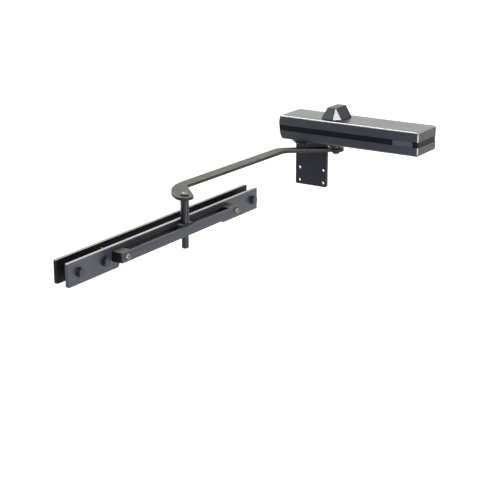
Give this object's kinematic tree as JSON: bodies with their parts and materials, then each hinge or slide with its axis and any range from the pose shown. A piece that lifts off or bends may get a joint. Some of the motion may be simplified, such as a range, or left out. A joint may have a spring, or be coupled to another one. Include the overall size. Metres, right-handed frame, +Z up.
{
  "type": "gate closer",
  "caption": "Hydraulic gate closer: long housing on an angle bracket, cranked flat arm with a drop pin, and a slotted track on clamp plates.",
  "frame": {"origin": "centre of the bracket's four post holes, on the back face of its plate", "axes": "+X along the closer housing away from the gate's side, +Y into the post, +Z up; the gate's plane runs along -Y"},
  "size_m": [0.294, 0.7605, 0.1712],
  "materials": {
    "bracket_coat": "satin black powder coat",
    "cover_coat": "satin dark grey-black powder coat",
    "band_plastic": "matt black, slightly blue",
    "plate_plastic": "bare dark grey plate",
    "cast_alloy": "black painted casting",
    "bright_steel": "plain machined steel",
    "dark_steel": "dark oiled steel",
    "brass": "plain brass",
    "seal_rubber": "matt black nitrile rubber",
    "bush_bronze": "sintered bronze",
    "cap_coat": "satin dark grey-black powder coat",
    "arm_coat": "satin black powder coat",
    "track_coat": "satin black powder coat",
    "clamp_coat": "satin black powder coat",
    "black_bolts": "black coated steel fasteners",
    "pin_steel": "black coated steel",
    "block_plastic": "dark sliding plastic"
  },
  "bodies": {
    "closer": {"mounting_bracket": "bracket_coat", "flange_screws": "black_bolts", "closer_body": "cast_alloy", "top_cover": "cover_coat", "trim_band": "band_plastic", "lower_cover": "cover_coat", "cover_screws": "black_bolts", "name_plate": "plate_plastic", "left_end_plug": "bright_steel", "right_end_plug": "bright_steel", "plug_rings": "seal_rubber", "lower_bearing": "bush_bronze", "upper_bearing": "bush_bronze", "lower_shaft_seal": "seal_rubber", "upper_shaft_seal": "seal_rubber", "regulating_valves": "brass", "spindle_cap": "cap_coat"},
    "piston": {"rack_piston": "bright_steel", "main_spring": "dark_steel"},
    "arm": {"pinion_spindle": "dark_steel", "arm": "arm_coat", "arm_washer": "black_bolts", "arm_screw": "black_bolts", "drop_pin": "pin_steel", "pin_screw": "black_bolts", "pin_washer": "black_bolts"},
    "slider": {"slide_block": "block_plastic"},
    "track": {"track_front_bar": "track_coat", "track_back_bar": "track_coat", "track_left_block": "track_coat", "track_right_block": "track_coat", "track_screws": "black_bolts", "front_plate": "clamp_coat", "back_plate": "clamp_coat", "clamp_bolts": "black_bolts", "clamp_washers": "black_bolts", "clamp_nuts": "black_bolts"}
  },
  "joints": [
    {"name": "arm_swing", "type": "hinge", "parent": "closer", "child": "arm", "pos_m": [0.058, -0.013, 0.06], "axis": [0, 0, 1], "range_deg": [0, 110]},
    {"name": "piston_travel", "type": "slide", "parent": "closer", "child": "piston", "axis": [1, 0, 0], "range_m": [0, 0.0175], "deforming": ["main_spring"]},
    {"name": "block_swivel", "type": "hinge", "parent": "arm", "child": "slider", "pos_m": [0.0145, -0.4485, 0.0048], "axis": [0, 0, 1], "continuous": true},
    {"name": "track_slide", "type": "slide", "parent": "slider", "child": "track", "axis": [0, 1, 0], "range_m": [-0.11, 0.144]}
  ],
  "couplings": [
    {"joint": "piston_travel", "follows": "arm_swing", "m_per_rad": 0.009}
  ]
}
